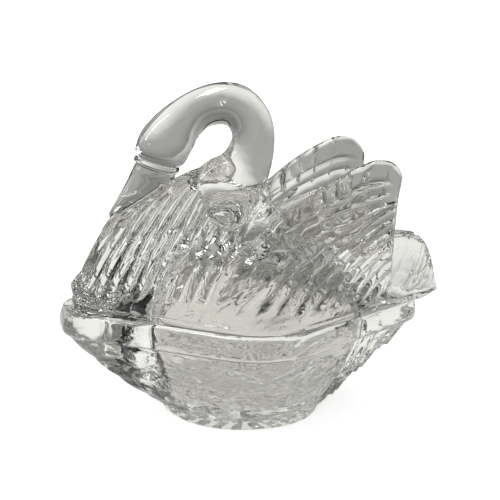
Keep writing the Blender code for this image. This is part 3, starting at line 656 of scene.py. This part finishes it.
def wing(columns, band_rows, rib_rows):
    """Points (face, row, column, xyz) of one wing: face 0 is the outer one, 1 the inner."""
    face = wing_grid(columns, band_rows, rib_rows)
    count = RIBS * rib_rows
    along_row = columns[None, :]
    share = np.concatenate([np.linspace(0, 1, band_rows + 1)[:-1], np.ones(count + 1)])[:, None]
    phase = np.concatenate([np.zeros(band_rows), np.arange(count) / rib_rows, [0]])[:, None]
    ribs = np.concatenate([np.zeros(band_rows), np.ones(count), [0]])[:, None]
    ribs = ribs * smooth((along_row - PLAIN_FOOT + 0.02) / 0.05)
    shorts = np.concatenate([np.ones(band_rows), np.zeros(count + 1)])[:, None]
    x, z = face[..., 0], face[..., 1]
    outer = wing_outer_y(x, z)
    inner = np.maximum(WING_INNER_Y - 0.02 * (112 - z), hollow_y(x, z) + HOLLOW_WALL)
    inner = np.minimum(inner, outer - WING_THIN)
    # Distance to the rim in the wing's own plane, from the first row and from both ends of a row
    reach = np.linalg.norm(face - face[:1], axis=-1)
    rear = np.linalg.norm(face - face[:, -1:], axis=-1)
    front = np.linalg.norm(face - face[:, :1], axis=-1)
    near = np.minimum(np.minimum(reach, rear), front * 2)
    near[-1] = 0
    rim = np.sqrt(np.clip(1 - (1 - np.clip(near / WING_ROUND, 0, 1)) ** 2, 0, 1))
    middle = (outer + inner) / 2
    # Outer face: long ribs, and short feathers that begin a third of the way along
    feather = RIB_DEPTH * reed(phase) * ribs * smooth(near / 5) * (1 - 0.5 * along_row)
    high = smooth((along_row - 0.36) / 0.1)
    pattern = reed((along_row - 0.3) * SHORT_FEATHERS / 0.7 + 0.25 * share)
    short = SHORT_DEPTH * pattern * shorts * high * smooth(near / 3) * smooth((1 - share) / 0.25)
    out_y = middle + (outer - middle) * rim + feather + short
    # Inner face: bars, grooves, and the foot of the ribs
    down = share ** 1.3
    bars = reed((along_row - 0.2) * BARS) * smooth((along_row - 0.2) / 0.06)
    bars = bars * smooth((0.8 - along_row) / 0.06)
    grooves = reed((down - 0.2) / 0.25) * smooth((down - 0.36) / 0.04)
    grooves = grooves * smooth((0.97 - along_row) / 0.1)
    ladder = (bars * smooth((0.42 - down) / 0.05) + grooves) * shorts * smooth(near / 3)
    low_ribs = reed(phase) * ribs * smooth(near / 5) * smooth((0.45 - phase / RIBS) / 0.1)
    in_y = middle + (inner - middle) * rim - INNER_DEPTH * (ladder + low_ribs)
    return np.stack([np.stack([x, out_y, z], -1), np.stack([x, in_y, z], -1)])


columns = np.concatenate([np.linspace(0, 0.08, 10), np.linspace(0.08, 0.92, 150)[1:],
                          np.linspace(0.92, 1, 14)[1:]])
leaf = wing(columns, 34, 6)
count = leaf.shape[1] * leaf.shape[2]
faces = quads(*leaf.shape[1:3])
faces = np.concatenate([faces, faces[:, ::-1] + count])
wings = [solid("wing_far", leaf, faces), solid("wing_near", leaf * [1, -1, 1], faces)]

# %% [markdown]
# ## The neck
# Neck, head and beak are one tapering form that flows out of the chest. A table gives each
# station by the two points where its ring crosses the middle plane, on the outside and on the
# inside of the arch, and by its half width. An oval is laid through each pair. Small dips in the
# table make the collar between head and beak.

# %% The neck's surface
# Outer point x, z, inner point x, z, half width, from the beak's tip to the root
NECK = [(-63.6, 86.3, -62.8, 85.7, 1.2), (-62.7, 88.3, -60.4, 87.0, 2.2), (-61.2, 91.2, -57.0, 89.1, 3.3),
        (-58.9, 95.6, -51.0, 92.8, 4.7), (-56.7, 100.2, -45.0, 96.5, 5.9), (-55.0, 104.3, -40.0, 99.7, 7.0),
        (-53.9, 107.0, -36.9, 102.3, 7.9), (-53.2, 108.2, -36.8, 103.7, 7.7), (-53.9, 109.2, -35.6, 104.9, 8.7),
        (-54.0, 110.2, -35.2, 106.0, 8.8), (-53.2, 111.3, -35.4, 107.2, 8.2), (-53.6, 113.0, -33.6, 108.5, 9.3),
        (-53.2, 116.2, -32.0, 111.4, 9.9), (-51.6, 120.8, -30.3, 115.2, 10.0), (-48.3, 125.4, -29.0, 118.2, 9.7),
        (-43.4, 130.3, -27.6, 120.8, 9.3), (-37.8, 134.6, -25.7, 122.8, 8.9), (-32.2, 138.0, -23.8, 124.0, 8.7),
        (-27.0, 140.3, -21.8, 124.6, 8.6), (-22.0, 141.65, -20.0, 124.8, 8.6), (-16.4, 142.1, -18.2, 124.8, 8.6),
        (-10.5, 141.1, -16.6, 124.3, 8.7), (-5.2, 138.0, -15.2, 123.3, 8.8), (-1.0, 133.8, -14.2, 121.9, 8.9),
        (2.2, 128.6, -13.5, 120.4, 9.0), (4.0, 122.6, -13.3, 118.8, 9.2), (4.5, 116.5, -13.7, 116.9, 9.5),
        (4.3, 111.0, -14.9, 114.2, 9.9), (3.6, 106.0, -17.6, 111.4, 10.6), (2.9, 102.3, -22.4, 109.0, 11.4),
        (1.6, 98.3, -27.5, 104.5, 13.2), (-0.5, 94.0, -30.0, 99.5, 16.2), (-3.0, 90.0, -29.5, 93.5, 19.3),
        (-5.5, 87.2, -28.0, 88.8, 20.9), (-8.5, 85.0, -25.5, 85.6, 19.6), (-12.0, 83.4, -22.0, 83.6, 14.0)]
NECK_SIDES, NECK_RINGS = 64, 260


def neck_rings(sides, rings):
    """Rings (ring, side, xyz): oval = middle + cos(a) half span in the plane + sin(a) half width on Y."""
    path = along(NECK, np.linspace(0, 1, rings))
    middle = (path[:, :2] + path[:, 2:4]) / 2
    span = (path[:, :2] - path[:, 2:4]) / 2
    angle = np.linspace(0, 2 * np.pi, sides, endpoint=False)
    flat = middle[:, None] + np.cos(angle)[None, :, None] * span[:, None]
    return np.stack([flat[..., 0], np.sin(angle)[None, :] * path[:, 4:5], flat[..., 1]], -1)


rings = neck_rings(NECK_SIDES, NECK_RINGS)
faces = quads(*rings.shape[:2], wrap=True).tolist()
first_ring = list(range(NECK_SIDES))
last_ring = [(NECK_RINGS - 1) * NECK_SIDES + k for k in first_ring]
faces += [first_ring[::-1], last_ring]
neck = solid("neck", rings, faces)

# %% [markdown]
# ## One piece of glass
# The real lid was pressed in one go, so body, wings and neck have to be one closed shell: glass
# inside glass would show every hidden wall. A Boolean union joins them, and its result is written
# back as a plain mesh. Edges sharper than 40 degrees stay sharp in the shading.

# %% Join body, wings and neck
SHARP = np.radians(40)


def unite(piece, others):
    """Union of closed shells; the other objects are removed."""
    for other in others:
        joint = piece.modifiers.new("unite_" + other.name, "BOOLEAN")
        joint.operation = "UNION"
        joint.solver = "MANIFOLD"
        joint.object = other
    graph = bpy.context.evaluated_depsgraph_get()
    mesh = bpy.data.meshes.new_from_object(piece.evaluated_get(graph))
    piece.modifiers.clear()
    piece.data = mesh
    for other in others:
        bpy.data.objects.remove(other, do_unlink=True)


unite(body, wings + [neck])
cover = body
cover.name = "swan_cover_glass"
for piece in (cover, dish):
    piece.data.shade_smooth()
    piece.data.set_sharp_from_angle(angle=SHARP)
    print(piece.name, sum(len(p.vertices) - 2 for p in piece.data.polygons), "triangles")

# %% [markdown]
# ## Sums on sockets
# A bump that adds up several waves is a formula, and it reads best as one. So a small class wraps
# a node's output: sums, differences and products of such wrappers add the nodes that work them
# out. Two short functions cover what the glass and the studio need besides.

# %% Arithmetic for shader nodes


class Node:
    """An output socket with arithmetic: an expression on such sockets adds its nodes."""

    def __init__(self, tree, socket):
        self.tree, self.socket = tree, socket

    def _math(self, operation, *values):
        kind = "ShaderNodeVectorMath" if self.socket.type == "VECTOR" else "ShaderNodeMath"
        return node(self.tree, kind, {"operation": operation}, dict(enumerate(values)))

    def __add__(self, other):
        return self._math("ADD", self, other)

    def __mul__(self, other):
        return self._math("MULTIPLY", self, other)

    def __sub__(self, other):
        return self._math("SUBTRACT", self, other)

    def __rsub__(self, other):
        return self._math("SUBTRACT", other, self)

    __radd__, __rmul__ = __add__, __mul__


def node(tree, kind, settings=None, values=None, out=0):
    """Adds a node, sets its settings, then its sockets' values or links; returns one output."""
    new = tree.nodes.new(kind)
    for key, value in (settings or {}).items():
        setattr(new, key, value)
    for key, value in (values or {}).items():
        if isinstance(value, Node):
            tree.links.new(value.socket, new.inputs[key])
        else:
            new.inputs[key].default_value = value
    return Node(tree, new.outputs[out])


def step(tree, value, begin, end, low=0.0, high=1.0):
    """'low' up to 'begin' and 'high' from 'end' on, with a smooth step between them."""
    return node(tree, "ShaderNodeMapRange", {"interpolation_type": "SMOOTHSTEP"},
                {"Value": value, "From Min": begin, "From Max": end, "To Min": low, "To Max": high})


def dent(tree, spot, centre, radius):
    """1 at 'centre' (mm), falling to 0 at 'radius' mm with level ends."""
    reach = node(tree, "ShaderNodeVectorMath", {"operation": "DISTANCE"},
                 {0: spot, 1: [c * MM for c in centre]}, out="Value")
    return step(tree, reach, 0.0, radius * MM, 1.0, 0.0)


print("sums on sockets:", sorted(name for name in vars(Node) if name.endswith(("add__", "sub__", "mul__"))))

# %% [markdown]
# ## Glass
# Pressed glass is clear with a faint warm grey, and its skin is never quite flat: it chilled
# against iron. So the bump holds a slow shallow wave, a fine ripple, the ring of the eye and one
# seed bubble in the arch of the neck. The ripple is drawn out, on the lid along the feathers and
# on the dish level, and it fades where the two touch, since flats that fit are smooth.

# %% The glass
GLASS_TINT = (0.755, 0.75, 0.718)
GLASS_IOR, GLASS_ROUGHNESS = 1.52, 0.01
# near-black base colour of the painted dark reflections in the rib grooves
PAINTED_REFLECTION_COLOUR = (0.005, 0.005, 0.005)
WAVE, WAVE_SCALE = 0.05, 90.0                               # height in mm, noise scale per m
RIPPLE_SCALE, RIPPLE_TWIST, RIPPLE_LENGTH = 170.0, 1.2, 2.8
SEAM_Z, SEAM_PLAIN, SEAM_FADE = 47, 1, 7                    # where lid and dish touch, mm
EYE, EYE_RADIUS, EYE_DEPTH = (-49.8, 7.2, 118.3), 0.9, 1.6
BUBBLE, BUBBLE_RADIUS, BUBBLE_DEPTH = (-22.0, -7.9, 136.2), 2.7, 3.0


def skin(tree, ripple, lean):
    """Height of the glass's skin in mm: wave + ripple - eye - bubble."""
    spot = node(tree, "ShaderNodeTexCoord", out="Object")
    slow = node(tree, "ShaderNodeTexNoise", None, {"Vector": spot, "Scale": WAVE_SCALE, "Detail": 1.0})
    drawn = node(tree, "ShaderNodeMapping", {"vector_type": "TEXTURE"},
                 {"Vector": spot, "Rotation": (0, -lean, 0), "Scale": (RIPPLE_LENGTH, 1, 1)})
    fine = node(tree, "ShaderNodeTexNoise", None,
                {"Vector": drawn, "Scale": RIPPLE_SCALE, "Detail": 1.0, "Distortion": RIPPLE_TWIST})
    z = node(tree, "ShaderNodeSeparateXYZ", None, {0: spot}, out="Z")
    (low_z, low_mm), (high_z, high_mm) = ripple
    tall = step(tree, z, low_z * MM, high_z * MM, low_mm, high_mm)
    off_seam = node(tree, "ShaderNodeMath", {"operation": "ABSOLUTE"}, {0: z - SEAM_Z * MM})
    free = step(tree, off_seam, SEAM_PLAIN * MM, SEAM_FADE * MM)
    # Both eyes in one: |y| takes the place of y
    distance = node(tree, "ShaderNodeVectorMath", {"operation": "ABSOLUTE"}, {0: spot * (0, 1, 0)})
    eye = dent(tree, spot * (1, 0, 1) + distance, EYE, EYE_RADIUS)
    bubble = dent(tree, spot, BUBBLE, BUBBLE_RADIUS)
    return slow * WAVE + fine * tall * free - eye * EYE_DEPTH - bubble * BUBBLE_DEPTH


def glass(name, ripple, lean):
    """Clear glass whose ripple has a height (z, mm) low and high up, drawn out at the angle 'lean'."""
    material = bpy.data.materials.new(name)
    material.use_nodes = True
    tree = material.node_tree
    shader = tree.nodes["Principled BSDF"]
    shader.inputs["Base Color"].default_value = (*GLASS_TINT, 1)
    shader.inputs["Roughness"].default_value = GLASS_ROUGHNESS
    shader.inputs["IOR"].default_value = GLASS_IOR
    shader.inputs["Transmission Weight"].default_value = 1.0
    # the mesh's mask turns the base colour near-black there: a painted dark reflection in the rib grooves
    painted_reflection = node(tree, "ShaderNodeAttribute", {"attribute_name": "painted_reflection"}, out="Fac")
    colour = node(tree, "ShaderNodeMix", {"data_type": "RGBA"},
                  {0: painted_reflection, 6: (*GLASS_TINT, 1), 7: (*PAINTED_REFLECTION_COLOUR, 1)}, out=2)
    tree.links.new(colour.socket, shader.inputs["Base Color"])
    bump = node(tree, "ShaderNodeBump", None,
                {"Height": skin(tree, ripple, lean), "Strength": 1.0, "Distance": MM})
    tree.links.new(bump.socket, shader.inputs["Normal"])
    return material


print("glass of index", GLASS_IOR, "with a tint of", GLASS_TINT)

# %% [markdown]
# ## Painted dark reflections at the foot of the ribs
# Near-black accents at the foot of four ribs are dark reflections in the steep grooves. The render
# doesn't bring them out by itself, so they are painted: a mask on the mesh colours the glass near-black
# in a lens |across| < 1.1 (1 - along^2) mm beside each rib's start, on both wings.

# %% The mask of the painted dark reflections
PAINTED_REFLECTION_WAY = np.array([0.72, 0.69])       # direction of a painted dark reflection in the wing's plane: X, height
PAINTED_REFLECTION_HALF, PAINTED_REFLECTION_WIDTH, PAINTED_REFLECTION_EDGE = 6.5, 1.1, 0.3        # half length, half width, soft edge, mm
PAINTED_REFLECTION_SKIN = 5                           # how far behind the outer face the mask still counts, mm

where = np.array([v.co for v in cover.data.vertices]) / MM
# how strongly each vertex carries the painted dark reflection, from 0 to 1
painted_reflection_mask = np.zeros(len(where))
for _, x, z, _ in RIB_ENDS[1:5]:
    from_middle = where[:, [0, 2]] - [x, z] - PAINTED_REFLECTION_WAY * PAINTED_REFLECTION_HALF
    run = from_middle @ PAINTED_REFLECTION_WAY / PAINTED_REFLECTION_HALF
    across = from_middle @ [-PAINTED_REFLECTION_WAY[1], PAINTED_REFLECTION_WAY[0]]
    inside = PAINTED_REFLECTION_WIDTH * (1 - run ** 2) - np.abs(across)
    on_wing = np.abs(where[:, 1]) > wing_outer_y(x, z) - PAINTED_REFLECTION_SKIN
    painted_reflection_mask = np.maximum(painted_reflection_mask, np.clip(inside / PAINTED_REFLECTION_EDGE, 0, 1) * on_wing)
# the painted dark reflection is stored as a mesh attribute that the glass reads as near-black colour
painted_reflection = cover.data.attributes.new("painted_reflection", "FLOAT", "POINT")
painted_reflection.data.foreach_set("value", painted_reflection_mask)
print("vertices in the painted_reflections", int((painted_reflection_mask > 0.5).sum()))

# %% [markdown]
# ## Glass on lid and dish
# Both pieces are the same glass. Only the ripple differs: on the lid it runs out between 80 and
# 95 mm up, on the dish it is strongest low down. Each takes the place of its packed node.

# %% Materials and slots
FEATHER_LEAN = 0.764        # angle of the wings' feathers, radians
COVER_RIPPLE = ((80, 0.6), (95, 0.0))       # height z and ripple there, mm
DISH_RIPPLE = ((28, 1.1), (38, 0.4))

for piece, slot, ripple, lean in ((cover, "cover_glass", COVER_RIPPLE, FEATHER_LEAN),
                                  (dish, "dish_glass", DISH_RIPPLE, 0.0)):
    piece.data.materials.clear()
    piece.data.materials.append(glass(slot + "_finish", ripple, lean))
    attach(piece, "root")
    print(piece.name, "has", piece.data.materials[0].name)
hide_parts("swan_cover")
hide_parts("dish")

# %% [markdown]
# ## The floor
# The photograph has been cut out on white, while the glass in it shows a greyer studio. So the
# paper under the dish shines a little by itself: most for the rays of the camera, less for those
# of gloss and of glass, and not at all as light. From 8 to 35 cm out it turns greyer for the
# glass; for the camera its glow makes up for that, and it stays white.

# %% The floor
FLOOR_HALF = 12.0               # m
NEAR, FAR = 0.08, 0.35          # m, where the paper begins and ends to turn greyer
PAPER_GREY, PAPER_FALL = 0.72, 0.26     # diffuse grey near by, and how much is gone far out
CAMERA_GLOW, CAMERA_RISE = 0.72, 0.6    # glow for the camera near by, and how much is added far out
GLASS_GLOW = 0.22               # glow for gloss and glass near by; it ends far out


def seen(tree, plain, in_glass):
    """'plain' for the camera's rays, 'in_glass' for glossy and transmission rays, else 0."""
    names = ("Is Camera Ray", "Is Glossy Ray", "Is Transmission Ray")
    direct, gloss, through = [node(tree, "ShaderNodeLightPath", out=name) for name in names]
    return plain * direct + in_glass * (gloss + through)


floor_mesh = bpy.data.meshes.new("floor")
corners = [(-FLOOR_HALF, -FLOOR_HALF, 0), (FLOOR_HALF, -FLOOR_HALF, 0),
           (FLOOR_HALF, FLOOR_HALF, 0), (-FLOOR_HALF, FLOOR_HALF, 0)]
floor_mesh.from_pydata(corners, [], [(0, 1, 2, 3)])
floor = bpy.data.objects.new("floor", floor_mesh)
bpy.context.scene.collection.objects.link(floor)
paper = bpy.data.materials.new("white_paper")
paper.use_nodes = True
tree = paper.node_tree
tree.nodes.remove(tree.nodes["Principled BSDF"])
spot = node(tree, "ShaderNodeTexCoord", out="Object")
reach = node(tree, "ShaderNodeVectorMath", {"operation": "LENGTH"}, {0: spot}, out="Value")
far = step(tree, reach, NEAR, FAR)
matte = node(tree, "ShaderNodeBsdfDiffuse", None, {"Color": PAPER_GREY - PAPER_FALL * far})
glow = seen(tree, CAMERA_GLOW + CAMERA_RISE * far, GLASS_GLOW - GLASS_GLOW * far)
lit = node(tree, "ShaderNodeEmission", None, {"Color": (1, 1, 1, 1), "Strength": glow})
both = node(tree, "ShaderNodeAddShader", None, {0: matte, 1: lit})
tree.links.new(both.socket, tree.nodes["Material Output"].inputs["Surface"])
floor_mesh.materials.append(paper)
print("floor", 2 * FLOOR_HALF, "m wide, with", len(tree.nodes), "nodes")

# %% [markdown]
# ## The studio's walls
# Glass shows nothing but what stands round it, so the wall makes its tones: grey above the
# horizon, one dark gap that draws the thin dark lines, and a lighter ceiling. The side that the
# head looks to is lighter than the other.

# %% The world
# Sine of the height above the horizon, and the grey there
WALL = [(0.02, 0.42), (0.15, 0.24), (0.43, 0.28), (0.46, 0.02), (0.52, 0.02), (0.55, 0.6)]
LEFT_X, LEFT_STRENGTH = -0.9, 2.2       # direction's X and the strength there
RIGHT_X, RIGHT_STRENGTH = 0.3, 0.9

world = bpy.data.worlds.new("studio")
bpy.context.scene.world = world
world.use_nodes = True
tree = world.node_tree
ground = tree.nodes["Background"]
way = node(tree, "ShaderNodeTexCoord", out="Generated")
height = node(tree, "ShaderNodeSeparateXYZ", None, {0: way}, out="Z")
ramp = tree.nodes.new("ShaderNodeValToRGB")
tree.links.new(height.socket, ramp.inputs["Fac"])
ready = len(ramp.color_ramp.elements)       # a new ramp already has its first stops
for k, (at, grey) in enumerate(WALL):
    stop = ramp.color_ramp.elements[k] if k < ready else ramp.color_ramp.elements.new(at)
    stop.position = at
    stop.color = (grey, grey, grey, 1)
tree.links.new(ramp.outputs["Color"], ground.inputs["Color"])
sideways = node(tree, "ShaderNodeSeparateXYZ", None, {0: way}, out="X")
lighter = step(tree, sideways, LEFT_X, RIGHT_X, LEFT_STRENGTH, RIGHT_STRENGTH)
tree.links.new(lighter.socket, ground.inputs["Strength"])
print("wall of", len(ramp.color_ramp.elements), "greys")

# %% [markdown]
# ## Soft boxes
# One wide lamp hangs over the swan and a narrow tall one stands on the side that the head looks
# to. Both are broad enough that their shadows stay soft and faint.

# %% Lamps
AIM = (0, 0, 0.06)      # what the lamps face, m


def soft_box(name, at, towards, size, power):
    """An area lamp of 'size' (m) and 'power' (W) at 'at' (m) that faces 'towards' (m)."""
    lamp = bpy.data.lights.new(name, "AREA")
    lamp.shape = "RECTANGLE"
    lamp.size, lamp.size_y = size
    lamp.energy = power
    holder = bpy.data.objects.new(name, lamp)
    bpy.context.scene.collection.objects.link(holder)
    at, towards = np.array(at, float), np.array(towards, float)
    z = (at - towards) / np.linalg.norm(at - towards)
    x = np.cross([0, 0, 1.0], z)
    x = x / np.linalg.norm(x)
    pose = np.eye(4)
    pose[:3, :3] = np.stack([x, np.cross(z, x), z], 1)
    pose[:3, 3] = at
    holder.matrix_world = Matrix(pose.tolist())
    print(name, power, "W,", np.linalg.norm(at - towards).round(2), "m away")


soft_box("soft_box_above", (-0.1, 0.1, 1.3), AIM, (0.6, 0.4), 7)
soft_box("soft_box_left", (-1.1, 0.2, 0.8), AIM, (0.12, 0.9), 3)
view = bpy.context.scene.view_settings
view.view_transform = "Standard"

# %% [markdown]
# ## Sizes and finish
# The visual model stays inside the packed model's box.
